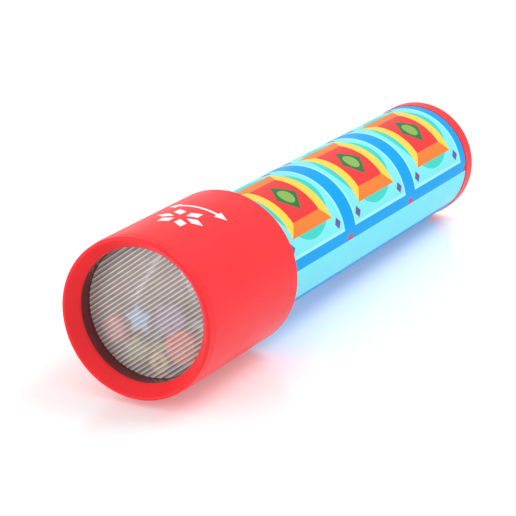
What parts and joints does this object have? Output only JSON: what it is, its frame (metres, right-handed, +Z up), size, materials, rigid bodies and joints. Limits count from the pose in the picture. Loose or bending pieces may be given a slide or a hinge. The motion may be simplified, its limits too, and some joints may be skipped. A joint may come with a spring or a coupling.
{
  "type": "turning-cap kaleidoscope",
  "caption": "Toy kaleidoscope: a printed card tube with a mirror prism and an eyepiece, and a turning cap with a ribbed window and loose coloured chips.",
  "frame": {"origin": "on the optical axis, halfway along the object", "axes": "+Y along the optical axis from the turning cap to the eyepiece, +Z up as it lies on its side, +X to the right seen from the front"},
  "size_m": [0.056, 0.227, 0.056],
  "materials": {
    "red_plastic": "moulded plastic with a satin gloss",
    "dark_plastic": "dark tinted moulded plastic",
    "ribbed_clear": "clear moulded plastic with straight ribs",
    "clear_plate": "clear polished plastic sheet",
    "white_plastic": "plain moulded plastic",
    "card": null,
    "printed_paper": "printed paper under a gloss film",
    "mirror_strip": "silvered strip",
    "foam": "closed-cell foam",
    "tape": "paper tape",
    "chip_blue": "translucent coloured plastic",
    "chip_red": "translucent coloured plastic",
    "chip_green": "translucent coloured plastic",
    "chip_pink": "translucent coloured plastic",
    "chip_yellow": "translucent coloured plastic",
    "chip_purple": "translucent coloured plastic",
    "chip_rose": "translucent coloured plastic",
    "chip_lime": "translucent coloured plastic",
    "chip_orange": "translucent coloured plastic",
    "chip_teal": "translucent coloured plastic",
    "chip_magenta": "translucent coloured plastic",
    "chip_amber": "translucent coloured plastic",
    "chip_clear": "translucent coloured plastic"
  },
  "bodies": {
    "barrel": {"main_tube": "card", "printed_wrap": "printed_paper", "turning_collar": "white_plastic", "eyepiece_cap": "red_plastic", "eyepiece_window": "clear_plate", "front_mirror_holder": "foam", "rear_mirror_holder": "foam", "tape_band_front": "tape", "tape_band_rear": "tape", "mirror_bottom": "mirror_strip", "mirror_right": "mirror_strip", "mirror_left": "mirror_strip"},
    "turning_cap": {"cap_shell": "red_plastic", "window_spacer": "dark_plastic", "ribbed_window": "ribbed_clear", "chamber_ring": "clear_plate", "inner_disc": "clear_plate", "retaining_ring": "white_plastic", "bearing_ring": "red_plastic"},
    "chips_front": {"chip_star_blue": "chip_blue", "chip_disc_red": "chip_red", "chip_flower_green": "chip_green", "chip_disc_pink": "chip_pink", "chip_bead_yellow": "chip_yellow"},
    "chips_middle": {"chip_flower_purple": "chip_purple", "chip_hexagon_rose": "chip_rose", "chip_triangle_lime": "chip_lime", "chip_square_orange": "chip_orange"},
    "chips_rear": {"chip_hexagon_teal": "chip_teal", "chip_triangle_magenta": "chip_magenta", "chip_disc_amber": "chip_amber", "chip_bead_clear": "chip_clear"}
  },
  "joints": [
    {"name": "cap_turn", "type": "hinge", "parent": "barrel", "child": "turning_cap", "pos_m": [0, -0.0739, 0], "axis": [0, 1, 0], "continuous": true},
    {"name": "chips_front_tumble", "type": "hinge", "parent": "turning_cap", "child": "chips_front", "pos_m": [0, -0.10051, 0], "axis": [0, 1, 0], "continuous": true},
    {"name": "chips_middle_tumble", "type": "hinge", "parent": "turning_cap", "child": "chips_middle", "pos_m": [0, -0.09796, 0], "axis": [0, 1, 0], "continuous": true},
    {"name": "chips_rear_tumble", "type": "hinge", "parent": "turning_cap", "child": "chips_rear", "pos_m": [0, -0.09541, 0], "axis": [0, 1, 0], "continuous": true}
  ]
}
